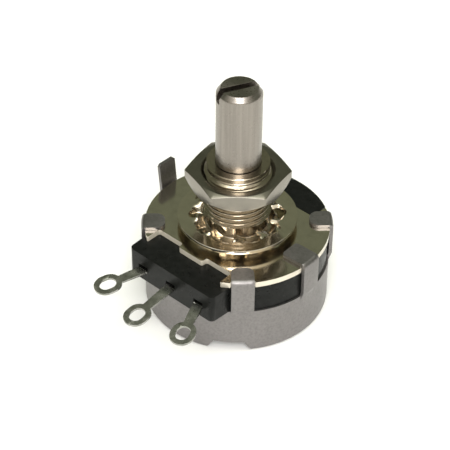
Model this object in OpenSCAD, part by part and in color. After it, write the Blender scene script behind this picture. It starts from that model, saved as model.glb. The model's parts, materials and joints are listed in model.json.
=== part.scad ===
// Rotary potentiometer with a threaded bushing, a slotted round shaft and three solder lugs.
// Origin: centre of the mounting plate's front face. +Z runs up the shaft, the lugs point to -Y.

/* [Shaft] */
// Diameter of the round shaft
shaft_d = 6; // [4:0.1:6.4]
// Step in from the shaft's side to the journal that runs in the bushing
journal_step = 0.2; // [0.15:0.05:0.4]
// Height of the shaft's tip above the mounting face
shaft_top = 21.9; // [16:0.1:40]
// Width of the chamfer round the tip
tip_chamfer = 0.6; // [0.2:0.05:1]
// Height of the chamfer round the tip
tip_chamfer_h = 0.85; // [0.2:0.05:1.5]
// Width of the screwdriver slot
slot_w = 1; // [0.6:0.1:1.5]
// Depth of the screwdriver slot
slot_depth = 1.7; // [0.8:0.1:3]
// Direction of the screwdriver slot at mid travel, from +X
slot_angle = 65; // [0:1:180]
// Diameter of the shank that carries the rotor
shank_d = 4; // [3:0.1:4.6]
// Distance between the two flats on the shank
shank_flats = 3; // [2.4:0.1:3.6]

/* [Bushing] */
// Outside diameter of the thread
thread_d = 9; // [8.4:0.1:11]
// Height of the bushing above the mounting face
bush_top = 10.4; // [9:0.1:15]
// Width of the chamfer at the top of the thread
bush_chamfer = 0.5; // [0.2:0.05:0.8]
// Depth of the plain neck under the thread
neck_depth = 0.35; // [0.1:0.05:0.4]
// Height at which the thread starts
thread_start = 2; // [1.8:0.1:3]
// Width by which the bushing's collar stands out from the thread
collar_w = 0.8; // [0.4:0.1:1.2]
// Height of the collar on the mounting plate
collar_h = 0.6; // [0.4:0.05:0.8]
// Thickness of the riveted rim under the mounting plate
rivet_t = 0.6; // [0.4:0.05:0.9]
// Length of the bushing below the riveted rim
bush_tail = 0.5; // [0.3:0.1:0.9]

/* [Hex nut] */
// Wall of the nut between its thread and its flats
nut_wall = 1.5; // [1.2:0.1:3]
// Thickness of the nut
nut_h = 2.4; // [1.6:0.1:3]
// Length of the bushing's end that stands out of the nut
nut_drop = 1.35; // [0.2:0.05:4.5]
// Step in from the flats to the chamfer circle on both faces
nut_chamfer = 0.3; // [0.1:0.05:0.5]
// Width of the countersink at both ends of the bore
nut_sink = 0.34; // [0.1:0.02:0.5]
// Turn of the nut about the shaft
nut_angle = 42.5; // [0:0.5:60]

/* [Lock washer] */
// Width of the washer's flat rim outside the notches
washer_rim = 1.45; // [0.8:0.05:2.5]
// Thickness of the lock washer
washer_t = 0.5; // [0.3:0.05:0.8]
// Gap between the collar and the lowest corners of the teeth
tooth_gap = 0.13; // [0.05:0.01:0.3]
// Number of twisted teeth
tooth_count = 10; // [8:1:12]
// Distance from the thread to the round ends of the notches
notch_depth = 2.05; // [1.8:0.05:2.6]
// Width of each notch
notch_w = 1.9; // [1.4:0.05:2.1]
// Twist of each tooth about its own length
tooth_twist = 30; // [15:1:35]
// Turn of the first notch from +X
notch_angle = 10; // [0:1:36]

/* [Mounting plate] */
// Step in from the cover's side to the plate's edge
plate_inset = 0.05; // [0:0.05:0.4]
// Thickness of the mounting plate
plate_t = 0.8; // [0.6:0.05:1.2]
// Depth of the cut-back on the lug side
front_depth = 4.2; // [3.4:0.1:4.5]
// Depth of the cut-back on the far side
back_depth = 4.5; // [3.4:0.1:4.9]
// Half-width of both cut-backs
cut_half = 6.5; // [5.5:0.1:7]
// Width of the tongue between the front cut-backs
tongue_w = 4.3; // [3:0.1:6]
// Step in from the plate's edge to the end of the tongue
tongue_step = 3.3; // [2.8:0.1:3.6]

/* [Moulding] */
// Step in from the cover's side to the moulding's
mould_inset = 0.25; // [0.15:0.05:0.35]
// Height of the moulding under the mounting plate
mould_h = 4.1; // [3.8:0.1:5]
// Width of the lug block beside the outer lugs
block_side = 2.5; // [1.6:0.1:2.5]
// Step out from the cover's side to the lug block's front face
block_step = 0.45; // [0.2:0.05:1.5]
// Flare of the lug block's sides towards its root
block_flare = 2; // [0:0.5:2]
// Corner radius of the lug block
block_corner = 0.7; // [0.3:0.1:1.2]
// Gap round the bushing's riveted rim
rim_gap = 0.2; // [0.1:0.05:0.6]
// Wall of the moulding round the track board
seat_wall = 1.2; // [0.8:0.1:1.6]
// Room over the solder lugs' inner ends
pocket_room = 0.4; // [0.3:0.05:0.6]
// Play beside the lugs in their slots
slot_play = 0.05; // [0.02:0.01:0.4]
// Height of the slots that the lugs leave through
lug_slot_h = 0.9; // [0.6:0.05:1.3]

/* [Rear cover] */
// Outside diameter of the cover
cover_d = 24.9; // [24.6:0.1:26.4]
// Sheet thickness of the cover
cover_t = 0.45; // [0.35:0.05:0.6]
// Height of the cup below the moulding
cup_h = 7; // [6.8:0.1:9]
// Radius round the bottom rim
rim_radius = 0.6; // [0.3:0.1:1]
// Width of the folded tabs
tab_w = 3; // [2:0.1:3.2]
// Gap between the moulding's side and the tabs that pass it
tab_gap = 0.2; // [0.05:0.05:0.3]
// Reach of the rounded tabs over the plate, from the cover's side
tab_fold = 2.8; // [2:0.05:3.2]
// Reach of the square tab over the plate, from the cover's side
long_fold = 3.55; // [2.4:0.05:3.8]
// Height of the upright locating lug above the mounting face
key_h = 3.5; // [2:0.1:6]
// Outward lean of the upright locating lug
key_lean = 6; // [4:0.5:8]
// Width of the upright locating lug
key_w = 2.9; // [2:0.1:3]
// Height of the stop channel pressed into the bottom
channel_h = 1.6; // [1:0.05:1.8]
// Length of the stop channel, from the cover's side inwards
channel_length = 3.85; // [3:0.05:4.5]
// Width of the stop channel's mouth at the rim
channel_w = 6; // [4:0.1:6.2]
// Slant of the stop channel's sides, as a width
channel_slant = 0.95; // [0.3:0.05:1.2]
// Direction of the stop channel, from the lugs towards +X
channel_angle = 38; // [30:1:45]

/* [Solder lugs] */
// Distance between neighbouring lugs at the block
lug_pitch = 5; // [4.6:0.1:5.2]
// Width of the lug strip
lug_w = 1.5; // [1.2:0.1:1.7]
// Thickness of the lug strip
lug_t = 0.3; // [0.2:0.05:0.4]
// Distance from the block's face to the outer lugs' eyes
lug_reach = 5.15; // [4:0.05:7]
// Distance from the block's face to the centre lug's eye
centre_reach = 6.2; // [4:0.05:8]
// Outside width of the eye
eye_d = 3.3; // [2.8:0.1:4]
// Width of the hole in the eye
eye_hole = 1.8; // [1.2:0.1:2.2]
// Extra length of the oval eye
eye_stretch = 0.5; // [0:0.1:1]
// Fan angle of the outer lugs
lug_fan = 21; // [10:1:25]
// Downward bend of the lugs outside the block
lug_droop = 8; // [0:1:20]

/* [Resistance element] */
// Thickness of the track board
board_t = 0.8; // [0.6:0.05:1]
// Thickness of the printed track and collector
film_t = 0.1; // [0.05:0.01:0.15]
// Step in from the board's edge to the middle of the resistance track
track_step = 3.4; // [3.3:0.05:3.6]
// Width of the resistance track
track_w = 2; // [1.4:0.1:2]
// Angle by which the track's ends pass the outer rivets
track_lead = 1.06; // [0:0.02:6]
// Step out from the board's bore to the collector ring
collector_step = 0.3; // [0.1:0.05:0.5]
// Width of the collector ring
collector_w = 1.2; // [0.8:0.1:1.4]
// Diameter of the rivets through the board
rivet_d = 1.4; // [1.2:0.1:1.5]
// Step in from the board's edge to the outer rivets
rivet_step = 1.31; // [1.31:0.01:1.5]

/* [Rotor] */
// Gap between the rotor disc and the inside of the cover
rotor_gap = 2.5; // [1.5:0.1:3.5]
// Thickness of the rotor disc
rotor_t = 2; // [1.5:0.1:2.2]
// Diameter of the rotor's hub
hub_d = 7.6; // [7:0.1:8]
// Thickness of the wiper spring
wiper_t = 0.3; // [0.2:0.05:0.4]
// Diameter of the contact studs
contact_d = 1.2; // [0.8:0.1:1.4]
// Thickness of the stop arm
stop_t = 0.6; // [0.5:0.05:0.8]
// Angle that the stop arm spans
stop_span = 18; // [10:1:20]
// Gap between the stop arm and the inside of the cover
stop_gap = 0.7; // [0.3:0.1:1.5]

/* [Clearances] */
// Radial clearance of the journal in the bushing
shaft_clear = 0.03; // [0.02:0.01:0.08]
// Radial clearance of the nut on the thread
nut_clear = 0.06; // [0.03:0.01:0.15]
// Clearance round pieces that are fitted together
fit = 0.02; // [0.01:0.01:0.04]
// Gap between the contacts and what they wipe
wipe_gap = 0.04; // [0.02:0.01:0.06]

/* [Hidden] */
$fn = 96;
eps = 0.01;

nickel = [0.62, 0.60, 0.55];
satin_tin = [0.60, 0.57, 0.55];
tinned = [0.55, 0.56, 0.50];
phenolic = [0.08, 0.08, 0.08];
laminate = [0.42, 0.26, 0.14];
bronze = [0.72, 0.52, 0.30];

// Levels, from the mounting face down to the bottom of the cover
nut_z = bush_top - nut_drop - nut_h;
plate_z = -plate_t;
rivet_z = plate_z - rivet_t;
bush_end = rivet_z - bush_tail;
sill_z = plate_z - mould_h;
cover_z = sill_z - cup_h;
floor_z = cover_z + cover_t;
board_rise = 1.4;
board_top = sill_z + board_rise;
board_z = board_top - board_t;
track_z = board_z - film_t;

// The stack on the shaft below the bushing
journal_d = shaft_d - 2 * journal_step;
thrust_t = 0.4;
clip_t = 0.6;
thrust_z = bush_end - thrust_t;
clip_z = thrust_z - clip_t;
groove_d = journal_d - 1.4;
shoulder_z = clip_z - 0.3;
wiper_rise = 0.85;
wiper_z = track_z - wipe_gap - wiper_rise - wiper_t;
disc_top = wiper_z - 0.8;
disc_z = disc_top - rotor_t;
stop_z = floor_z + 0.45;
shank_end = stop_z - 0.2;

// Outlines shared by the pieces that meet
thread_r = thread_d / 2;
neck_r = thread_r - neck_depth;
collar_r = thread_r + collar_w;
cover_r = cover_d / 2;
inside_r = cover_r - cover_t;
plate_r = cover_r - plate_inset;
front_cut = plate_r - front_depth;
back_cut = plate_r - back_depth;
tongue_reach = plate_r - tongue_step;
mould_r = cover_r - mould_inset;
bore_r = collar_r + rim_gap;
seat_r = mould_r - seat_wall;
block_half = lug_pitch + block_side;
block_reach = cover_r + block_step;
block_root = mould_r - 3.2;
tab_tip = cover_r - tab_fold;
long_tip = cover_r - long_fold;
tab_in = mould_r + tab_gap;
tab_out = tab_in + cover_t;
tab_bend = 0.6;
tab_relief = 0.15;
tab_side = 0.1;
tab_straight = sill_z + 0.6;
root_z = sill_z - 0.9;
root_in = cover_r - 0.35;
root_out = cover_r - 0.1;
// Direction of a folded tab that stands beside the lug block with a gap between them
function beside_block(gap) =
    asin((block_half + gap) / norm([cover_r, tab_w / 2])) + atan(tab_w / 2 / cover_r);
right_gap = 0.41;
left_gap = 0.33;
// Each folded tab: its direction from the lugs towards +X, its tip's reach and corner radius
tabs = [[beside_block(right_gap), tab_tip + 0.2, 1], [92, long_tip, 0.5],
        [135, tab_tip, 1.3], [225, tab_tip, 1.2], [-beside_block(left_gap), tab_tip, 1.2]];
key_angle = 270;
spigot_r = thread_r - 0.3;
lug_x = [-lug_pitch, 0, lug_pitch];
rivet_x = [-lug_pitch, 0, lug_pitch];
rivet_ring_r = seat_r - rivet_step;
rivet_y = -sqrt(pow(rivet_ring_r, 2) - pow(lug_pitch, 2));
pad_d = 2.6;
board_bore_r = hub_d / 2 + 0.6;
track_r = seat_r - track_step;
collector_r = board_bore_r + collector_step + collector_w / 2;
wiper_r = collector_r + contact_d / 2 + 0.1;
stop_reach = inside_r - stop_gap;

// Turns a child from the lug side, -Y, towards +X by an angle
module aim(angle) {
    rotate([0, 0, angle]) children();
}

// A plain disc or ring that stands on the level z
module ring(d, bore, z, h) {
    translate([0, 0, z]) difference() {
        cylinder(d = d, h = h);
        if (bore > 0) translate([0, 0, -1]) cylinder(d = bore, h = h + 2);
    }
}

// The shank's outline: a circle with two flats
module shank_outline(clear) {
    intersection() {
        circle(d = shank_d + 2 * clear);
        square([shank_flats + 2 * clear, shank_d + 1], center = true);
    }
}

module shaft() {
    r = shaft_d / 2;
    journal_r = journal_d / 2;
    step_z = bush_top + 0.1;
    turned = [[0, shoulder_z], [journal_r, shoulder_z], [journal_r, clip_z],
              [groove_d / 2, clip_z], [groove_d / 2, thrust_z], [journal_r, thrust_z],
              [journal_r, step_z], [r, step_z], [r, shaft_top - tip_chamfer_h],
              [r - tip_chamfer, shaft_top], [0, shaft_top]];
    color(nickel) {
        difference() {
            rotate_extrude() polygon(turned);
            translate([0, 0, shaft_top - slot_depth / 2 + 0.5]) rotate([0, 0, slot_angle])
                cube([shaft_d + 2, slot_w, slot_depth + 1], center = true);
        }
        translate([0, 0, shank_end]) linear_extrude(shoulder_z - shank_end + eps)
            shank_outline(0);
    }
}

module bushing() {
    hole_r = journal_d / 2 + shaft_clear;
    profile = [[hole_r, bush_end], [spigot_r, bush_end], [spigot_r, rivet_z],
               [collar_r, rivet_z], [collar_r, plate_z - fit],
               [spigot_r, plate_z - fit], [spigot_r, fit], [collar_r, fit],
               [collar_r, collar_h], [neck_r, collar_h], [neck_r, thread_start],
               [thread_r, thread_start + neck_depth],
               [thread_r, bush_top - bush_chamfer], [thread_r - bush_chamfer, bush_top],
               [hole_r, bush_top]];
    color(nickel) rotate_extrude() polygon(profile);
}

module hex_nut() {
    flat_r = thread_r + nut_wall;
    corner_r = flat_r / cos(30);
    face_r = flat_r - nut_chamfer;
    hole_r = thread_r + nut_clear;
    sink_r = hole_r + nut_sink;
    slope = (corner_r - face_r) * tan(30);
    solid_of_turn = [[hole_r, nut_sink], [sink_r, 0], [face_r, 0],
                     [corner_r + eps, slope], [corner_r + eps, nut_h - slope],
                     [face_r, nut_h], [sink_r, nut_h], [hole_r, nut_h - nut_sink]];
    color(nickel) translate([0, 0, nut_z]) rotate([0, 0, nut_angle]) intersection() {
        cylinder(r = corner_r, h = nut_h, $fn = 6);
        rotate_extrude() polygon(solid_of_turn);
    }
}

module lock_washer() {
    step = 360 / tooth_count;
    notch_end = thread_r + notch_depth;
    rim_in = notch_end - notch_w / 2;
    tooth_in = thread_r + 0.2;
    tooth_root = rim_in + 0.3;
    tooth_w = 2 * PI * rim_in / tooth_count - notch_w;
    tooth_drop = (tooth_w * sin(tooth_twist) + washer_t * cos(tooth_twist)) / 2;
    mid_z = collar_h + tooth_gap + tooth_drop;
    washer_z = mid_z - washer_t / 2;
    color(nickel) {
        difference() {
            ring(2 * (notch_end + washer_rim), 2 * rim_in, washer_z, washer_t);
            for (i = [0 : tooth_count - 1]) rotate([0, 0, notch_angle + i * step])
                translate([rim_in, 0, washer_z - 1])
                    cylinder(d = notch_w, h = washer_t + 2, $fn = 32);
        }
        for (i = [0 : tooth_count - 1]) rotate([0, 0, notch_angle + (i + 0.5) * step])
            translate([tooth_in, 0, mid_z]) rotate([-tooth_twist, 0, 0])
                translate([0, -tooth_w / 2, -washer_t / 2])
                    cube([tooth_root - tooth_in, tooth_w, washer_t]);
    }
}

// A bite out of the plate's edge, from a chord at the distance cut to beyond the rim
module edge_cut(cut) {
    translate([-cut_half, -cover_d]) square([2 * cut_half, cover_d - cut]);
}

module mounting_plate() {
    color(nickel) translate([0, 0, plate_z]) difference() {
        linear_extrude(plate_t) difference() {
            circle(r = plate_r);
            difference() {
                edge_cut(front_cut);
                translate([-tongue_w / 2, -tongue_reach]) square([tongue_w, tongue_reach]);
            }
            rotate(180) edge_cut(back_cut);
            for (tab = tabs) rotate(tab[0]) translate([-tab_w / 2 - tab_side, -cover_d])
                square([tab_w + 2 * tab_side, cover_d - mould_r + tab_relief]);
        }
        translate([0, 0, -1]) cylinder(r = spigot_r + fit, h = plate_t + 2);
    }
}

// Plan of the lug block: flared sides and two rounded front corners
module block_plan() {
    depth = block_reach - block_root;
    spread = depth * tan(block_flare);
    inset = block_corner * (1 + tan(block_flare)) * 0.9;
    difference() {
        union() {
            polygon([[-block_half - spread, -block_root],
                     [-block_half, -block_reach + block_corner],
                     [-block_half + inset, -block_reach], [block_half - inset, -block_reach],
                     [block_half, -block_reach + block_corner],
                     [block_half + spread, -block_root]]);
            for (s = [-1, 1]) translate([s * (block_half - block_corner),
                                         -block_reach + block_corner])
                circle(r = block_corner, $fn = 32);
        }
        circle(r = bore_r + 2);
    }
}

module base_moulding() {
    step_gap = 0.15;
    step_drop = 0.05;
    lug_slot_w = lug_w + 2 * slot_play;
    slot_end = bore_r + 0.5;
    pocket_h = lug_t + pocket_room;
    color(phenolic) difference() {
        union() {
            translate([0, 0, sill_z]) linear_extrude(mould_h) {
                circle(r = mould_r);
                block_plan();
            }
            translate([0, 0, plate_z - eps]) linear_extrude(plate_t - step_drop) intersection() {
                circle(r = cover_r);
                translate([step_gap - cut_half, back_cut + step_gap])
                    square([2 * (cut_half - step_gap), cover_r]);
            }
        }
        translate([0, 0, sill_z - 1]) cylinder(r = bore_r, h = mould_h + 2);
        translate([0, 0, sill_z - 1]) cylinder(r = seat_r, h = board_rise + 1);
        ring(2 * (seat_r - 0.8), 2 * (bore_r + 1), board_top - eps, pocket_h + eps);
        for (x = lug_x) translate([x - lug_slot_w / 2, -block_reach - 1, board_top - eps])
            cube([lug_slot_w, block_reach + 1 - slot_end, lug_slot_h + eps]);
        for (x = rivet_x) translate([x, rivet_y, board_top - eps])
            cylinder(d = rivet_d + 1.6, h = pocket_h + 0.35);
    }
}

// The stop channel pressed up into the cover's bottom, grown by the sheet's thickness
module channel(grow) {
    w = channel_w / 2 + grow;
    top_w = w - channel_slant;
    h = channel_h + grow;
    lip = 0.15;
    aim(channel_angle) translate([0, channel_length - cover_r + grow, cover_z])
        rotate([90, 0, 0]) linear_extrude(cover_d)
            polygon([[-w, -1], [-w, lip], [-top_w, h], [top_w, h], [w, lip], [w, -1]]);
}

// Profile of a folded tab: up the side, over the rim and inwards along the plate
module tab_profile() {
    arc = [for (a = [0 : 10 : 90]) [tab_out - tab_bend + tab_bend * cos(a),
                                    cover_t + fit - tab_bend + tab_bend * sin(a)]];
    polygon(concat([[root_in, root_z], [root_out, root_z], [tab_out, tab_straight]], arc,
                   [[long_tip - 0.5, cover_t + fit], [long_tip - 0.5, fit], [tab_in, fit],
                    [tab_in, tab_straight], [mould_r + fit, sill_z + fit]]));
}

module folded_tab(tip, corner) {
    corner_x = tab_w / 2 - corner;
    corner_y = -tip - corner;
    intersection() {
        rotate([0, 0, -110]) rotate_extrude(angle = 40) tab_profile();
        translate([0, 0, cover_z]) linear_extrude(cup_h + mould_h + 3) {
            for (s = [-1, 1]) translate([s * corner_x, corner_y])
                circle(r = corner, $fn = 48);
            translate([-corner_x, corner_y]) square([2 * corner_x, corner]);
            translate([-tab_w / 2, -cover_d]) square([tab_w, cover_d + corner_y]);
        }
    }
}

// The upright lug that keys the potentiometer to its panel: it leans out from the cup's wall
module key_lug() {
    bevel = 0.3;
    rise = key_h - root_z;
    side = key_w / 2;
    translate([0, -root_in, root_z]) rotate([key_lean, 0, 0]) rotate([90, 0, 0])
        linear_extrude(cover_t) polygon([[-side, 0], [side, 0], [side, rise - bevel],
                                         [side - bevel, rise], [-side + bevel, rise],
                                         [-side, rise - bevel]]);
}

module rear_cover() {
    arc = [for (a = [-90 : 15 : 0]) [cover_r - rim_radius + rim_radius * cos(a),
                                     cover_z + rim_radius + rim_radius * sin(a)]];
    color(satin_tin) {
        difference() {
            rotate_extrude() polygon(concat([[0, cover_z]], arc,
                                            [[cover_r, sill_z], [0, sill_z]]));
            difference() {
                translate([0, 0, floor_z]) cylinder(r = inside_r, h = cup_h);
                channel(cover_t);
            }
            channel(0);
        }
        for (tab = tabs) aim(tab[0]) folded_tab(tab[1], tab[2]);
        aim(key_angle) key_lug();
    }
}

// One solder lug: a strip on the board, then a fanned and bent tail with an oval eye
module solder_lug(i) {
    bend_y = -block_reach;
    x = lug_x[i];
    fan = (i - 1) * lug_fan;
    color(tinned) difference() {
        union() {
            translate([x, 0, board_top]) linear_extrude(lug_t) {
                translate([-lug_w / 2, bend_y]) square([lug_w, rivet_y - bend_y]);
                translate([0, rivet_y]) circle(d = 2.4, $fn = 48);
            }
            translate([x, bend_y + 0.1, board_top]) rotate([lug_droop, 0, 0])
                rotate([0, 0, fan]) linear_extrude(lug_t)
                    lug_tail(i == 1 ? centre_reach : lug_reach);
        }
        translate([x, rivet_y, board_top - 1]) cylinder(d = rivet_d, h = 2, $fn = 32);
    }
}

// Outline of a lug's tail, pointing to -Y from its bend, with its eye at the distance reach
module lug_tail(reach) {
    far = reach + eye_stretch / 2;
    near = reach - eye_stretch / 2;
    neck = lug_w * 0.8;
    difference() {
        union() {
            polygon([[-lug_w / 2, 0], [lug_w / 2, 0], [neck / 2, -near], [-neck / 2, -near]]);
            translate([0, -far]) circle(d = eye_d, $fn = 48);
            translate([0, -near]) circle(d = eye_d, $fn = 48);
            translate([-eye_d / 2, -far]) square([eye_d, eye_stretch]);
        }
        translate([0, -far]) circle(d = eye_hole, $fn = 32);
        translate([0, -near]) circle(d = eye_hole, $fn = 32);
        translate([-eye_hole / 2, -far]) square([eye_hole, eye_stretch]);
    }
}

// A tubular rivet that joins a lug to the board
module board_rivet(i) {
    head_d = 2.2;
    head_t = 0.25;
    foot_z = board_z - film_t - head_t;
    top_z = board_top + lug_t;
    color(bronze) translate([rivet_x[i], rivet_y, 0]) difference() {
        union() {
            translate([0, 0, foot_z]) cylinder(d = rivet_d - 2 * fit, h = top_z - foot_z);
            translate([0, 0, foot_z]) cylinder(d = head_d, h = head_t);
            translate([0, 0, top_z]) cylinder(d = head_d, h = head_t);
        }
        translate([0, 0, foot_z - 1]) cylinder(d = rivet_d - 0.7, h = mould_h);
    }
}

// The holes that the rivets pass through
module rivet_holes(z, h) {
    for (i = [0 : 2]) translate([rivet_x[i], rivet_y, z])
        cylinder(d = rivet_d, h = h, $fn = 32);
}

module track_board() {
    color(laminate) difference() {
        ring(2 * (seat_r - 0.05), 2 * board_bore_r, board_z, board_t);
        rivet_holes(board_z - 1, board_t + 2);
    }
}

module carbon_track() {
    half = track_w / 2;
    start = asin(lug_pitch / rivet_ring_r) - track_lead;
    color([0.10, 0.10, 0.11]) difference() {
        union() {
            rotate([0, 0, start - 90]) rotate_extrude(angle = 360 - 2 * start)
                translate([track_r - half, track_z]) square([track_w, film_t]);
            for (i = [0, 2]) translate([rivet_x[i], rivet_y, track_z])
                cylinder(d = pad_d, h = film_t, $fn = 48);
        }
        rivet_holes(track_z - 1, 2);
    }
}

module collector_ring() {
    color([0.80, 0.80, 0.78]) difference() {
        translate([0, 0, track_z]) linear_extrude(film_t) difference() {
            union() {
                circle(r = collector_r + collector_w / 2);
                translate([-pad_d / 2, rivet_y]) square([pad_d, -rivet_y]);
                translate([0, rivet_y]) circle(d = pad_d, $fn = 48);
            }
            circle(r = collector_r - collector_w / 2);
        }
        rivet_holes(track_z - 1, 2);
    }
}

module rotor_disc() {
    color(phenolic) difference() {
        union() {
            ring(2 * (inside_r - rotor_gap), 0, disc_z, rotor_t);
            ring(2 * wiper_r, 0, disc_top - eps, wiper_z - disc_top + eps);
            ring(hub_d, 0, wiper_z - eps, shoulder_z - wiper_z + eps);
            ring(hub_d, 0, stop_z + stop_t, disc_z - stop_z - stop_t + eps);
        }
        translate([0, 0, stop_z]) linear_extrude(cup_h + mould_h) shank_outline(fit);
    }
}

module wiper_spring() {
    arm_w = 2.4;
    color(bronze) translate([0, 0, wiper_z]) linear_extrude(wiper_t) difference() {
        union() {
            circle(r = wiper_r);
            translate([-arm_w / 2, 0]) square([arm_w, track_r + contact_d / 2 + 0.3]);
        }
        circle(d = hub_d + 2 * fit);
    }
}

// A contact stud that stands on the wiper spring
module contact(radius, angle) {
    rotate([0, 0, angle]) translate([0, radius, wiper_z + wiper_t])
        cylinder(d = contact_d, h = wiper_rise, $fn = 48);
}

module track_contact() {
    color([0.12, 0.12, 0.12]) contact(track_r, 0);
}

module collector_contact() {
    color(bronze) contact(collector_r, 180);
}

module stop_arm() {
    side = stop_reach * tan(stop_span / 2);
    color(nickel) aim(channel_angle + 180) translate([0, 0, stop_z]) difference() {
        linear_extrude(stop_t) {
            circle(d = 8);
            intersection() {
                polygon([[0, 0], [-side, -stop_reach], [side, -stop_reach]]);
                circle(r = stop_reach);
            }
        }
        aim(-channel_angle - 180) translate([0, 0, -1]) linear_extrude(stop_t + 2)
            shank_outline(fit);
    }
}

module retaining_clip() {
    clip_fit = 0.02;
    gap = 2.4;
    color([0.35, 0.35, 0.36]) translate([0, 0, clip_z + clip_fit])
        linear_extrude(clip_t - 2 * clip_fit) difference() {
            circle(d = journal_d + 2.6);
            circle(d = groove_d + 2 * clip_fit);
            translate([-gap / 2, 0]) square([gap, journal_d]);
        }
}

module thrust_washer() {
    color(bronze) ring(journal_d + 2.4, journal_d + 0.1, thrust_z + 0.03, thrust_t - 0.06);
}

shaft();
bushing();
hex_nut();
lock_washer();
mounting_plate();
base_moulding();
rear_cover();
solder_lug(0);  // lug_left
solder_lug(1);  // lug_centre
solder_lug(2);  // lug_right
board_rivet(0);  // rivet_left
board_rivet(1);  // rivet_centre
board_rivet(2);  // rivet_right
track_board();
carbon_track();
collector_ring();
rotor_disc();
wiper_spring();
track_contact();
collector_contact();
stop_arm();
retaining_clip();
thrust_washer();
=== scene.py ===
"""Looks of a rotary potentiometer: finishes, threads, stamped teeth and softened edges.

Lengths are metres in the part's own frame. MM turns the design's millimetres into metres.
"""
import json
from math import asin, atan, ceil, cos, pi, radians, sin, sqrt, tan

import bmesh
import bpy
from mathutils import Matrix, Vector


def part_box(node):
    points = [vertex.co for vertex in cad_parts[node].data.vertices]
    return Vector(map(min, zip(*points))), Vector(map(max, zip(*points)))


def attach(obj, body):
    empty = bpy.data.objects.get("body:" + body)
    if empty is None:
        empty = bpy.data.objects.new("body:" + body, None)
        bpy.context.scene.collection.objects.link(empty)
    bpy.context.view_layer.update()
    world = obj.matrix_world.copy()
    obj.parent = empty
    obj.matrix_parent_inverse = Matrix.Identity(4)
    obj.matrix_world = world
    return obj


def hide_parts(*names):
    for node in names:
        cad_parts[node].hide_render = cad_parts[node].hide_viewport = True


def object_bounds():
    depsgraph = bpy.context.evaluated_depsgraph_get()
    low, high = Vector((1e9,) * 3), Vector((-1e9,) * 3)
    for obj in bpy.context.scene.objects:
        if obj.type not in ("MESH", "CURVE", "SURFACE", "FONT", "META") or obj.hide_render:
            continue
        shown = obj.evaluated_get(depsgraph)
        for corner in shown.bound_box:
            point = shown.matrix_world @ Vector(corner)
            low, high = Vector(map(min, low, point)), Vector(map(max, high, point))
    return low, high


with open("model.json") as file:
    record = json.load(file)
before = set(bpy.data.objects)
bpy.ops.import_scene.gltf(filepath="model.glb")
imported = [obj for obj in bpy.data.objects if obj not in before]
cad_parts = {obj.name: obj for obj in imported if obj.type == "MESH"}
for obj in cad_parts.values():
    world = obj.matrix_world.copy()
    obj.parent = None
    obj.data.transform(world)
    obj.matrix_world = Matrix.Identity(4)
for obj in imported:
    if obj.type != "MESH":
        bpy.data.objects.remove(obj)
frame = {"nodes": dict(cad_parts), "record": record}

cad_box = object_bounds()
MM = 0.001

# The view: where the camera stands round the part, and the point that it looks at
VIEW_AZIMUTH = radians(42.5)
VIEW_ELEVATION = radians(39.33)
VIEW_DISTANCE = 220 * MM
VIEW_ROLL = radians(0.645)
VIEW_LENS = 131.44
VIEW_SENSOR = 36
VIEW_CLIP = 10 * MM
AIM_SIDE = -1.641 * MM
AIM_HEIGHT = -0.495 * MM

# The bushing. The thread's form and the reduced nose are only here, not in CAD.
BUSH_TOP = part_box("bushing")[1].z
BUSH_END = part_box("bushing")[0].z
BUSH_BORE_R = 2.98 * MM
BUSH_EDGE = 0.07 * MM
BUSH_MOUTH = 0.06 * MM
THREAD_R = 4.5 * MM
THREAD_ROOT_R = 4.04 * MM
THREAD_PITCH = 0.75 * MM
THREAD_START = 2.2 * MM
CREST_SHARE = 0.14              # of the pitch
ROOT_SHARE = 0.12
NECK_R = 4.15 * MM
NOSE_R = 4.16 * MM
NOSE_H = 1.1 * MM
NOSE_SLOPE = radians(30)
SPIGOT_R = 4.2 * MM
COLLAR_R = 5.3 * MM
COLLAR_H = 0.6 * MM
PLATE_T = 0.8 * MM
RIM_Z = -1.4 * MM
FIT = 0.02 * MM

# The nut, a little wider over its flats than in CAD
NUT_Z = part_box("hex_nut")[0].z
NUT_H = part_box("hex_nut")[1].z - NUT_Z
NUT_FLAT_R = 6.1 * MM
NUT_CORNER = 0.22 * MM
NUT_TURN = radians(42.5)
NUT_TOP_FACE_R = 6.0 * MM
NUT_TOP_SLOPE = radians(17)
NUT_FOOT_FACE_R = 6.02 * MM
NUT_FOOT_SLOPE = radians(48)
NUT_BORE_R = 4.56 * MM
NUT_SINK = 0.34 * MM
NUT_MOUTH_EDGE = 0.05 * MM
NUT_FACE_EDGE = 0.01 * MM
NUT_SIDE_EDGE = 0.03 * MM

# The lock washer. A notch with a round end parts each tooth from the next.
WASHER_Z = (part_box("lock_washer")[0].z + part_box("lock_washer")[1].z) / 2
WASHER_R = 8 * MM
WASHER_T = 0.5 * MM
WASHER_EDGE = 0.1 * MM
TOOTH_COUNT = 10
TOOTH_IN = 4.72 * MM
TOOTH_TWIST = radians(-30)
TWIST_START = 6.4 * MM
TWIST_LENGTH = 1.0 * MM
NOTCH_END = 6.55 * MM
NOTCH_R = 0.95 * MM
FIRST_NOTCH = radians(10)

# The sheet pieces, the moulding and the shaft
PLATE_CUT_HALF = 6.6 * MM       # half of the width between the plate's cut-back corners
PLATE_CORNER_R = 0.35 * MM
PLATE_EDGE = 0.15 * MM
CHANNEL_H = 2 * MM              # the pressed channel lies below this height of the cover
PRESSED_EDGE = 0.35 * MM
CUT_EDGE = 0.07 * MM
SHAFT_EDGE = 0.06 * MM
MOULDING_EDGE = 0.12 * MM
LUG_EDGE = 0.09 * MM

# Meshes: which points are one, which faces are flat and which edges stay sharp
SPLIT_GAP = 0.001 * MM
SEAM_GAP = 0.0005 * MM
RING_GAP = 0.0002 * MM
SLIVER = 0.0001 * MM
FLAT_ANGLE = radians(0.5)
SHARP_ANGLE = radians(44)
FLAT_WEIGHT = 80

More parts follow.
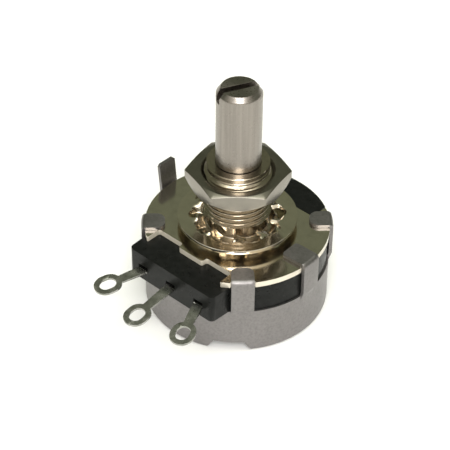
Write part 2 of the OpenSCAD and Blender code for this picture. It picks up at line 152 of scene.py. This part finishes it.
# Nearly all values of a noise texture lie between these
NOISE_LOW, NOISE_HIGH = 0.3, 0.7

# The world: its colour by the height that a ray climbs to, and a pale wall behind the viewer
CEILING = [(0.0, (0.7, 0.7, 0.68)), (0.05, (0.3, 0.3, 0.27)), (0.15, (0.175, 0.19, 0.133)),
           (0.65, (0.17, 0.185, 0.128)), (0.84, (0.25, 0.26, 0.2)),
           (0.93, (1.15, 1.2, 0.95)), (1.0, (1.25, 1.3, 1.05))]
WALL = [(0.35, (0, 0, 0)), (0.85, (0.85, 0.79, 0.72))]
WALL_ELEVATION = radians(30)

FLOOR_HALF = 3.0
FLOOR_GRAYS = (0.9, 0.9, 0.9), (0.92, 0.92, 0.92)


def direction(azimuth, elevation):
    """Unit vector from the part to a place at an azimuth round it and an elevation above it."""
    level = cos(elevation)
    return Vector((sin(azimuth) * level, -cos(azimuth) * level, sin(elevation)))


def clamped(value):
    """The value, no less than 0 and no more than 1."""
    return min(max(value, 0), 1)


# ---------------------------------------------------------------- materials

def fill_ramp(ramp, stops):
    """Gives a ramp node its (place, colour) stops."""
    elements = ramp.color_ramp.elements
    while len(elements) < len(stops):
        elements.new(0.5)
    for element, (place, color) in zip(elements, stops):
        element.position = place
        element.color = (*color, 1)


class Finish:
    """A Principled material and the texture nodes that vary it."""

    def __init__(self, name, metallic, roughness, **numbers):
        self.material = bpy.data.materials.new(name)
        self.material.use_nodes = True
        self.nodes = self.material.node_tree.nodes
        self.links = self.material.node_tree.links
        self.shader = self.nodes["Principled BSDF"]
        self.shader.inputs["Metallic"].default_value = metallic
        self.shader.inputs["Roughness"].default_value = roughness
        for socket, value in numbers.items():
            self.shader.inputs[socket.replace("_", " ")].default_value = value
        coordinates = self.nodes.new("ShaderNodeTexCoord")
        self.place = coordinates.outputs["Object"]
        self.facing = coordinates.outputs["Normal"]

    def noise(self, grain, detail, stretch=(1, 1, 1)):
        """Noise with features about grain wide, longer along an axis where stretch is over 1."""
        mapping = self.nodes.new("ShaderNodeMapping")
        mapping.inputs["Scale"].default_value = [1 / (grain * s) for s in stretch]
        self.links.new(self.place, mapping.inputs["Vector"])
        texture = self.nodes.new("ShaderNodeTexNoise")
        texture.inputs["Scale"].default_value = 1
        texture.inputs["Detail"].default_value = detail
        self.links.new(mapping.outputs["Vector"], texture.inputs["Vector"])
        return texture.outputs["Fac"]

    def upward(self, vector):
        """The Z part of a vector."""
        parts = self.nodes.new("ShaderNodeSeparateXYZ")
        self.links.new(vector, parts.inputs["Vector"])
        return parts.outputs["Z"]

    def spread(self, value, start, end, low, high):
        """Maps start to end onto low to high, and holds the value past either end."""
        node = self.nodes.new("ShaderNodeMapRange")
        for socket, number in (("From Min", start), ("From Max", end),
                               ("To Min", low), ("To Max", high)):
            node.inputs[socket].default_value = number
        self.links.new(value, node.inputs["Value"])
        return node.outputs["Result"]

    def colors(self, factor, *stops):
        """Sets the base colour from a factor, by a ramp of (place, colour) stops."""
        ramp = self.nodes.new("ShaderNodeValToRGB")
        fill_ramp(ramp, stops)
        self.links.new(factor, ramp.inputs["Fac"])
        self.links.new(ramp.outputs["Color"], self.shader.inputs["Base Color"])

    def paint_shade_above(self, height, fade, share):
        """Paints shade: multiplies the colour by a share above a height, over a band fade deep.
        """
        scale = self.nodes.new("ShaderNodeVectorMath")
        scale.operation = "SCALE"
        socket = self.shader.inputs["Base Color"]
        light = self.spread(self.upward(self.place), height, height + fade, 1, share)
        self.links.new(socket.links[0].from_socket, scale.inputs[0])
        self.links.new(light, scale.inputs["Scale"])
        self.links.new(scale.outputs["Vector"], socket)

    def roughness(self, factor, low, high):
        """Spreads the roughness from low to high with a noise factor."""
        self.links.new(self.spread(factor, NOISE_LOW, NOISE_HIGH, low, high),
                       self.shader.inputs["Roughness"])

    def bump(self, factor, depth):
        """Raises the surface by up to depth with a factor, on top of any earlier bump."""
        bump = self.nodes.new("ShaderNodeBump")
        bump.inputs["Distance"].default_value = depth
        earlier = self.shader.inputs["Normal"].links
        if earlier:
            self.links.new(earlier[0].from_socket, bump.inputs["Normal"])
        self.links.new(factor, bump.inputs["Height"])
        self.links.new(bump.outputs["Normal"], self.shader.inputs["Normal"])

    def sheared(self, metallic, steep=0.5, level=0.9):
        """Dulls the upright faces, as a shear leaves the edge of a plated sheet.

        A face counts as upright up to steep and as level from level on, by its normal's height.
        """
        size = self.nodes.new("ShaderNodeMath")
        size.operation = "ABSOLUTE"
        self.links.new(self.upward(self.facing), size.inputs[0])
        self.links.new(self.spread(size.outputs["Value"], steep, level, metallic, 1),
                       self.shader.inputs["Metallic"])

    def brushed(self, amount):
        """Brushes the surface round the Z axis, as a lathe does."""
        tangent = self.nodes.new("ShaderNodeTangent")
        tangent.direction_type = "RADIAL"
        tangent.axis = "Z"
        self.shader.inputs["Anisotropic"].default_value = amount
        self.links.new(tangent.outputs["Tangent"], self.shader.inputs["Tangent"])


def tinted(color, share):
    """The colour times a share."""
    return tuple(channel * share for channel in color)


def rolled_nickel(name, color, roughness, edge_metallic=None):
    """Bright plated nickel: slight tarnish, fine wear and a rolled surface's waves."""
    finish = Finish(name, 1.0, roughness)
    finish.colors(finish.noise(grain=1.6 * MM, detail=4), (NOISE_LOW, tinted(color, 0.9)),
                  (0.5, color), (NOISE_HIGH, tinted(color, 1.05)))
    finish.roughness(finish.noise(grain=0.9 * MM, detail=3), low=roughness * 0.9,
                     high=roughness * 1.12)
    finish.bump(finish.noise(grain=2.2 * MM, detail=2), depth=0.004 * MM)
    if edge_metallic is not None:
        finish.sheared(edge_metallic)
    return finish.material


def turned_nickel(name, color, roughness, brushing):
    """Satin plated nickel with the fine marks of turning and faint drawn bands along it."""
    finish = Finish(name, 1.0, roughness)
    bands = finish.noise(grain=0.45 * MM, detail=3, stretch=(1, 1, 26))
    marks = finish.noise(grain=0.06 * MM, detail=2, stretch=(14, 14, 1))
    finish.colors(bands, (NOISE_LOW, tinted(color, 0.9)), (0.52, color),
                  (NOISE_HIGH, tinted(color, 1.08)))
    finish.roughness(finish.noise(grain=0.3 * MM, detail=5), low=roughness * 0.85,
                     high=roughness * 1.2)
    finish.bump(marks, depth=0.0012 * MM)
    finish.brushed(brushing)
    return finish.material


def satin_tin():
    """Matt tinned sheet: a fine cloudy mottle, with painted shade darkening the lug that stands
    above the tabs.
    """
    color = (0.235, 0.223, 0.222)
    finish = Finish("satin_cover_finish", 1.0, 0.4)
    finish.colors(finish.noise(grain=0.32 * MM, detail=6), (NOISE_LOW, tinted(color, 0.87)),
                  (0.5, color), (0.72, tinted(color, 1.1)))
    # painted shade: the lug above the tabs has its colour darkened to 0.85
    finish.paint_shade_above(height=0.6 * MM, fade=0.3 * MM, share=0.85)
    finish.roughness(finish.noise(grain=2.5 * MM, detail=4), low=0.38, high=0.5)
    finish.bump(finish.noise(grain=0.16 * MM, detail=4), depth=0.006 * MM)
    finish.bump(finish.noise(grain=3.5 * MM, detail=2), depth=0.01 * MM)
    return finish.material


def phenolic():
    """Black moulded phenolic: semi-gloss, with a faint flow mottle."""
    finish = Finish("black_moulding_finish", 0.0, 0.3, IOR=1.4, Specular_IOR_Level=0.2)
    finish.colors(finish.noise(grain=0.9 * MM, detail=5), (NOISE_LOW, (0.004, 0.0045, 0.004)),
                  (NOISE_HIGH, (0.009, 0.0095, 0.009)))
    finish.roughness(finish.noise(grain=0.6 * MM, detail=4), low=0.26, high=0.38)
    finish.bump(finish.noise(grain=0.25 * MM, detail=3), depth=0.0015 * MM)
    finish.bump(finish.noise(grain=2.5 * MM, detail=2), depth=0.012 * MM)
    return finish.material


def dull_tin():
    """Hot-tinned lug: dull grey-green with brighter runs."""
    finish = Finish("tinned_lug_finish", 1.0, 0.24)
    finish.colors(finish.noise(grain=1.2 * MM, detail=3), (NOISE_LOW, (0.25, 0.255, 0.23)),
                  (0.52, (0.34, 0.34, 0.315)), (0.72, (0.48, 0.47, 0.455)))
    finish.roughness(finish.noise(grain=0.8 * MM, detail=2), low=0.22, high=0.3)
    finish.bump(finish.noise(grain=0.5 * MM, detail=2), depth=0.006 * MM)
    return finish.material


def plain(name, color, metallic, roughness, grain):
    """A hidden piece's finish: its colour, varied a little over a grain."""
    finish = Finish(name, metallic, roughness)
    finish.colors(finish.noise(grain, detail=4), (NOISE_LOW, tinted(color, 0.82)),
                  (NOISE_HIGH, color))
    finish.roughness(finish.noise(grain / 2, detail=3), low=roughness * 0.85,
                     high=roughness * 1.2)
    finish.bump(finish.noise(grain / 3, detail=3), depth=0.004 * MM)
    return finish.material


# Colour, metallic, roughness and grain of each slot inside the cover
HIDDEN_FINISHES = {
    "rivet_brass": ((0.72, 0.58, 0.33), 1.0, 0.3, 0.4 * MM),
    "laminate": ((0.36, 0.2, 0.09), 0.0, 0.6, 0.5 * MM),
    "carbon_film": ((0.03, 0.03, 0.033), 0.0, 0.55, 0.2 * MM),
    "silver_film": ((0.8, 0.8, 0.77), 1.0, 0.4, 0.2 * MM),
    "spring_bronze": ((0.7, 0.47, 0.26), 1.0, 0.28, 0.5 * MM),
    "dark_steel": ((0.26, 0.26, 0.27), 1.0, 0.4, 0.3 * MM),
}

MATERIALS = {
    "shaft_nickel": turned_nickel("shaft_nickel_finish", (0.288, 0.262, 0.238),
                                  roughness=0.3, brushing=0.45),
    "bushing_nickel": turned_nickel("bushing_nickel_finish", (0.42, 0.365, 0.29),
                                    roughness=0.17, brushing=0.3),
    "nut_nickel": rolled_nickel("nut_nickel_finish", (0.265, 0.245, 0.212), roughness=0.24),
    "washer_nickel": rolled_nickel("washer_nickel_finish", (0.73, 0.665, 0.555),
                                   roughness=0.13),
    "plate_nickel": rolled_nickel("plate_nickel_finish", (0.69, 0.635, 0.535),
                                  roughness=0.14, edge_metallic=0.35),
    "black_moulding": phenolic(),
    "satin_cover": satin_tin(),
    "tinned_lug": dull_tin(),
}
for hidden_slot, looks in HIDDEN_FINISHES.items():
    MATERIALS[hidden_slot] = plain(hidden_slot + "_finish", *looks)


# ---------------------------------------------------------------- mesh helpers

def add_piece(name, shape, body, nodes, slot):
    """Makes a shown piece of a bmesh: smooth but for its sharp edges, on a CAD body."""
    bmesh.ops.recalc_face_normals(shape, faces=shape.faces)
    mesh = bpy.data.meshes.new(name)
    shape.to_mesh(mesh)
    shape.free()
    mesh.shade_smooth()
    mesh.set_sharp_from_angle(angle=SHARP_ANGLE)
    mesh.materials.append(MATERIALS[slot])
    piece = bpy.data.objects.new(name, mesh)
    bpy.context.scene.collection.objects.link(piece)
    weighted = piece.modifiers.new("flat faces stay flat", "WEIGHTED_NORMAL")
    weighted.keep_sharp = True
    weighted.weight = FLAT_WEIGHT
    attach(piece, body)
    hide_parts(*nodes)


def welded_copy(node):
    """A copy of a CAD node's mesh with its split corners joined and its flat faces whole."""
    shape = bmesh.new()
    shape.from_mesh(frame["nodes"][node].data)
    bmesh.ops.remove_doubles(shape, verts=shape.verts, dist=SPLIT_GAP)
    bmesh.ops.dissolve_limit(shape, angle_limit=FLAT_ANGLE, verts=shape.verts,
                             edges=shape.edges)
    return shape


def soften(shape, width, chosen=None, segments=2, over=40):
    """Bevels the edges that turn by more than over degrees, or those of them that are chosen."""
    edges = [edge for edge in shape.edges
             if edge.is_manifold and edge.calc_face_angle() > radians(over)
             and (chosen is None or chosen(edge))]
    bmesh.ops.bevel(shape, geom=edges, offset=width, segments=segments, profile=0.5,
                    affect="EDGES", clamp_overlap=True)
    bmesh.ops.remove_doubles(shape, verts=shape.verts, dist=SEAM_GAP)


def rounded(points, radii, steps=3):
    """An open outline whose inner corners become arcs of the given radii."""
    result = [Vector(points[0])]
    for index in range(1, len(points) - 1):
        here = Vector(points[index])
        back = (Vector(points[index - 1]) - here).normalized()
        on = (Vector(points[index + 1]) - here).normalized()
        radius = radii[index]
        if radius == 0:
            result.append(here)
            continue
        half = back.angle(on) / 2
        centre = here + (back + on).normalized() * radius / sin(half)
        start = here + back * radius / tan(half) - centre
        end = here + on * radius / tan(half) - centre
        for step in range(steps + 1):
            arm = start.lerp(end, step / steps)
            result.append(centre + arm.normalized() * radius)
    result.append(Vector(points[-1]))
    return result


def loft(columns, closing=lambda row: row):
    """A ring-shaped solid. Each column is a closed outline of (radius, height) at its own angle.

    closing says which row of the first column a row of the last one meets.
    """
    shape = bmesh.new()
    grid = []
    for number, column in enumerate(columns):
        angle = 2 * pi * number / len(columns)
        grid.append([shape.verts.new((r * cos(angle), r * sin(angle), z)) for r, z in column])
    rows = len(grid[0])
    for number, column in enumerate(grid):
        last = number == len(grid) - 1
        following = [grid[0][closing(row)] for row in range(rows)] if last else grid[number + 1]
        for row in range(rows):
            onward = (row + 1) % rows
            corners = [column[row], following[row], following[onward], column[onward]]
            if len(set(corners)) > 2:
                shape.faces.new(list(dict.fromkeys(corners)))
    bmesh.ops.remove_doubles(shape, verts=shape.verts, dist=RING_GAP)
    bmesh.ops.dissolve_degenerate(shape, edges=shape.edges, dist=SLIVER)
    return shape


# ---------------------------------------------------------------- threaded bushing

def thread_radius(phase, height):
    """Radius of the thread at a phase of its pitch, faded into the neck and the turned nose."""
    if height >= BUSH_TOP:
        return NOSE_R
    off_crest = abs(2 * phase - 1)
    depth = clamped((off_crest - CREST_SHARE) / (1 - CREST_SHARE - ROOT_SHARE))
    radius = THREAD_R - (THREAD_R - THREAD_ROOT_R) * depth
    past_neck = height - THREAD_START
    nose = NOSE_R + max(BUSH_TOP - NOSE_H - height, 0) / tan(NOSE_SLOPE)
    return min(max(radius, NECK_R - past_neck), NECK_R + past_neck, nose)


def threaded_bushing():
    """The bushing as it was turned, with its helical thread, neck and collar."""
    steps, per_pitch = 120, 12
    foot = [(BUSH_BORE_R, BUSH_END), (SPIGOT_R, BUSH_END), (SPIGOT_R, RIM_Z),
            (COLLAR_R, RIM_Z), (COLLAR_R, -PLATE_T - FIT), (SPIGOT_R, -PLATE_T - FIT),
            (SPIGOT_R, FIT), (COLLAR_R, FIT), (COLLAR_R, COLLAR_H), (NECK_R, COLLAR_H),
            (NECK_R, THREAD_START)]
    radii = [0, BUSH_EDGE, BUSH_EDGE, BUSH_EDGE, BUSH_EDGE, 0, 0, 0, 2 * BUSH_EDGE,
             2 * BUSH_EDGE, 0]
    foot = rounded(foot, radii)[:-1]
    head = [(BUSH_BORE_R + BUSH_MOUTH, BUSH_TOP), (BUSH_BORE_R, BUSH_TOP - BUSH_MOUTH)]
    turns = ceil((BUSH_TOP - THREAD_START) / THREAD_PITCH)
    first = len(foot)
    final = first + (turns + 1) * per_pitch
    columns = []
    for number in range(steps):
        column = list(foot)
        for row in range(-per_pitch, turns * per_pitch + 1):
            height = THREAD_START + THREAD_PITCH * (row / per_pitch + number / steps)
            height = min(max(height, THREAD_START), BUSH_TOP)
            column.append((thread_radius(row % per_pitch / per_pitch, height), height))
        columns.append(column + head)

    def closing(row):
        """One turn on, the thread's rows are a pitch higher."""
        return min(row + per_pitch, final) if first <= row <= final else row

    add_piece("bushing_threaded", loft(columns, closing), "housing", ["bushing"],
              "bushing_nickel")


# ---------------------------------------------------------------- hex nut

def hexagon_radius(angle):
    """Distance from the axis to a hexagon with rounded corners, at an angle from a corner."""
    half_side = pi / 6
    angle = abs((angle + half_side) % (2 * half_side) - half_side)
    arm = (NUT_FLAT_R - NUT_CORNER) / cos(half_side)
    reach = atan(NUT_CORNER * sin(half_side) / (arm + NUT_CORNER * cos(half_side)))
    if angle < reach:
        return arm * cos(angle) + sqrt(NUT_CORNER ** 2 - (arm * sin(angle)) ** 2)
    return NUT_FLAT_R / cos(half_side - angle)


def turned_nut():
    """The hex nut, its corners cut by the chamfers' cones and its edges just broken."""
    steps = 360
    sink_r = NUT_BORE_R + NUT_SINK
    radii = [0, 0, NUT_MOUTH_EDGE, NUT_FACE_EDGE, NUT_SIDE_EDGE, NUT_SIDE_EDGE,
             NUT_FACE_EDGE, NUT_MOUTH_EDGE, 0, 0]
    columns = []
    for number in range(steps):
        side = hexagon_radius(2 * pi * number / steps - NUT_TURN)
        foot_cut = (side - NUT_FOOT_FACE_R) * tan(NUT_FOOT_SLOPE)
        top_cut = (side - NUT_TOP_FACE_R) * tan(NUT_TOP_SLOPE)
        outline = [(NUT_BORE_R, NUT_H / 2), (NUT_BORE_R, NUT_SINK), (sink_r, 0),
                   (NUT_FOOT_FACE_R, 0), (side, foot_cut), (side, NUT_H - top_cut),
                   (NUT_TOP_FACE_R, NUT_H), (sink_r, NUT_H),
                   (NUT_BORE_R, NUT_H - NUT_SINK), (NUT_BORE_R, NUT_H / 2)]
        columns.append([(r, z + NUT_Z) for r, z in rounded(outline, radii)[:-1]])
    add_piece("hex_nut_turned", loft(columns), "nut", ["hex_nut"], "nut_nickel")


# ---------------------------------------------------------------- lock washer

def tooth_half_angle(radius):
    """Half the angle that the metal spans at a radius, in one tooth's sector."""
    sector = pi / TOOTH_COUNT
    root = NOTCH_END - NOTCH_R
    if radius >= NOTCH_END:
        return sector
    if radius > root:
        return sector - asin(sqrt(NOTCH_R ** 2 - (radius - root) ** 2) / radius)
    half_width = root * sector - NOTCH_R
    return asin(half_width / radius)


def washer_point(tooth, radius, share, side):
    """A point of the washer in a tooth's sector.

    share runs from -1 to 1 across the metal, and side is 1 on top and -1 underneath.
    """
    spread = tooth_half_angle(radius) * share
    along, across = radius * cos(spread), radius * sin(spread)
    height = side * WASHER_T / 2
    turn = clamped((TWIST_START - radius) / TWIST_LENGTH)
    twist = TOOTH_TWIST * turn * turn * (3 - 2 * turn)
    across, height = (across * cos(twist) - height * sin(twist),
                      across * sin(twist) + height * cos(twist))
    angle = FIRST_NOTCH + (tooth + 0.5) * 2 * pi / TOOTH_COUNT
    return (along * cos(angle) - across * sin(angle),
            along * sin(angle) + across * cos(angle), WASHER_Z + height)


def stamped_washer():
    """The internal-tooth washer: one stamped ring whose ten teeth are twisted on their roots."""
    columns, arc_rows, tooth_rows = 8, 9, 3
    root = NOTCH_END - NOTCH_R
    radii = [WASHER_R, WASHER_R - WASHER_EDGE, (WASHER_R + NOTCH_END) / 2,
             NOTCH_END + WASHER_EDGE]
    notch_row = len(radii)
    radii += [root + NOTCH_R * cos(pi / 2 * step / arc_rows) for step in range(arc_rows + 1)]
    radii += [root + (TOOTH_IN - root) * step / tooth_rows for step in range(1, tooth_rows + 1)]
    last_row = len(radii) - 1
    shape = bmesh.new()

    def sheet(tooth, side):
        """The rows of points on one side of a tooth's sector, with the faces between them."""
        points = [[shape.verts.new(washer_point(tooth, radius, 2 * column / columns - 1, side))
                   for column in range(columns + 1)] for radius in radii]
        for row in range(last_row):
            for column in range(columns):
                shape.faces.new((points[row][column], points[row][column + 1],
                                 points[row + 1][column + 1], points[row + 1][column]))
        return points

    for tooth in range(TOOTH_COUNT):
        top, under = sheet(tooth, 1), sheet(tooth, -1)
        for row in (0, last_row):
            for column in range(columns):
                shape.faces.new((top[row][column], top[row][column + 1],
                                 under[row][column + 1], under[row][column]))
        for column in (0, columns):
            for row in range(notch_row, last_row):
                shape.faces.new((top[row][column], top[row + 1][column],
                                 under[row + 1][column], under[row][column]))
    bmesh.ops.remove_doubles(shape, verts=shape.verts, dist=SEAM_GAP)
    bmesh.ops.recalc_face_normals(shape, faces=shape.faces)
    soften(shape, WASHER_EDGE)
    add_piece("lock_washer_stamped", shape, "housing", ["lock_washer"], "washer_nickel")


# ---------------------------------------------------------------- sheet and moulded pieces

def stamped_plate():
    """The mounting plate with rounded cut-back corners and broken edges."""
    shape = welded_copy("mounting_plate")

    def cut_corner(joint):
        """Whether an edge is an upright corner of the two cut-backs."""
        low, high = (vert.co for vert in joint.verts)
        upright = (low - high).to_2d().length < SPLIT_GAP
        return upright and abs(low.x) < PLATE_CUT_HALF and abs(low.y) > PLATE_CUT_HALF

    soften(shape, PLATE_CORNER_R, cut_corner, segments=5)
    soften(shape, PLATE_EDGE)
    add_piece("mounting_plate_stamped", shape, "housing", ["mounting_plate"], "plate_nickel")


def pressed_cover():
    """The rear cover, with the pressed channel's edges drawn softer than the cut ones."""
    shape = welded_copy("rear_cover")
    channel_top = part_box("rear_cover")[0].z + CHANNEL_H

    def pressed(joint):
        """Whether an edge belongs to the channel in the cover's floor."""
        return all(vert.co.z < channel_top for vert in joint.verts)

    soften(shape, PRESSED_EDGE, pressed, segments=4, over=25)
    soften(shape, CUT_EDGE)
    add_piece("rear_cover_pressed", shape, "housing", ["rear_cover"], "satin_cover")


def softened(node, body, slot, width):
    """A CAD node with broken edges, as a piece of the same place and size."""
    shape = welded_copy(node)
    soften(shape, width)
    add_piece(node + "_finished", shape, body, [node], slot)


def paint_cad_nodes():
    """Gives each node that shows its CAD shape the finish of its slot in the record."""
    for subpart in frame["record"]["subparts"]:
        for material_slot in frame["nodes"][subpart["node"]].material_slots:
            material_slot.material = MATERIALS[subpart["material_slot"]]


threaded_bushing()
turned_nut()
stamped_washer()
stamped_plate()
softened("shaft", "rotor", "shaft_nickel", SHAFT_EDGE)
softened("base_moulding", "housing", "black_moulding", MOULDING_EDGE)
pressed_cover()
for lug in ("lug_left", "lug_centre", "lug_right"):
    softened(lug, "housing", "tinned_lug", LUG_EDGE)
paint_cad_nodes()


# ---------------------------------------------------------------- floor, light and camera

def pale_floor():
    """A plain pale floor under the part."""
    dark, light = FLOOR_GRAYS
    shape = bmesh.new()
    bmesh.ops.create_grid(shape, x_segments=1, y_segments=1, size=FLOOR_HALF)
    mesh = bpy.data.meshes.new("floor")
    shape.to_mesh(mesh)
    shape.free()
    finish = Finish("pale_floor", 0.0, 0.9)
    finish.colors(finish.noise(grain=40 * MM, detail=2), (NOISE_LOW, dark),
                  (NOISE_HIGH, light))
    mesh.materials.append(finish.material)
    floor = bpy.data.objects.new("floor", mesh)
    floor.location.z = cad_box[0][2]
    bpy.context.scene.collection.objects.link(floor)


def soft_light(name, azimuth, elevation, distance, size, power):
    """A square soft box that faces the part. Its azimuth counts from the camera's."""
    lamp = bpy.data.lights.new(name, "AREA")
    lamp.shape = "SQUARE"
    lamp.size = size
    lamp.energy = power
    box = bpy.data.objects.new(name, lamp)
    towards = direction(VIEW_AZIMUTH + azimuth, elevation)
    box.location = towards * distance
    box.rotation_euler = towards.to_track_quat("Z", "Y").to_euler()
    bpy.context.scene.collection.objects.link(box)


def studio_world():
    """A pale horizon under a dim ceiling with a pale panel, and a pale wall behind the viewer."""
    world = bpy.data.worlds.new("studio")
    world.use_nodes = True
    nodes, links = world.node_tree.nodes, world.node_tree.links
    ray = nodes.new("ShaderNodeTexCoord").outputs["Generated"]
    parts = nodes.new("ShaderNodeSeparateXYZ")
    links.new(ray, parts.inputs["Vector"])
    ceiling = nodes.new("ShaderNodeValToRGB")
    fill_ramp(ceiling, CEILING)
    links.new(parts.outputs["Z"], ceiling.inputs["Fac"])
    facing = nodes.new("ShaderNodeVectorMath")
    facing.operation = "DOT_PRODUCT"
    facing.inputs[1].default_value = direction(VIEW_AZIMUTH, WALL_ELEVATION)
    links.new(ray, facing.inputs[0])
    wall = nodes.new("ShaderNodeValToRGB")
    fill_ramp(wall, WALL)
    links.new(facing.outputs["Value"], wall.inputs["Fac"])
    total = nodes.new("ShaderNodeVectorMath")
    total.operation = "ADD"
    links.new(ceiling.outputs["Color"], total.inputs[0])
    links.new(wall.outputs["Color"], total.inputs[1])
    links.new(total.outputs["Vector"], nodes["Background"].inputs["Color"])
    bpy.context.scene.world = world


def view_camera():
    """The camera where the photograph was taken from, with its lens and its small roll."""
    eye = bpy.data.cameras.new("camera")
    eye.lens = VIEW_LENS
    eye.sensor_width = VIEW_SENSOR
    eye.clip_start = VIEW_CLIP
    camera = bpy.data.objects.new("camera", eye)
    right = Vector((cos(VIEW_AZIMUTH), sin(VIEW_AZIMUTH), 0))
    back = direction(VIEW_AZIMUTH, VIEW_ELEVATION)
    up = back.cross(right)
    aim = right * AIM_SIDE + Vector((0, 0, AIM_HEIGHT))
    axes = Matrix((right * cos(VIEW_ROLL) + up * sin(VIEW_ROLL),
                   up * cos(VIEW_ROLL) - right * sin(VIEW_ROLL), back)).transposed()
    camera.matrix_world = Matrix.Translation(aim + back * VIEW_DISTANCE) @ axes.to_4x4()
    bpy.context.scene.collection.objects.link(camera)
    bpy.context.scene.camera = camera


pale_floor()
studio_world()
soft_light("overhead", azimuth=0, elevation=radians(84), distance=1.2, size=0.8, power=5)
soft_light("behind_camera", azimuth=radians(2), elevation=radians(43), distance=0.7,
           size=0.34, power=3.6)
view_camera()
bpy.context.scene.view_settings.view_transform = "Standard"
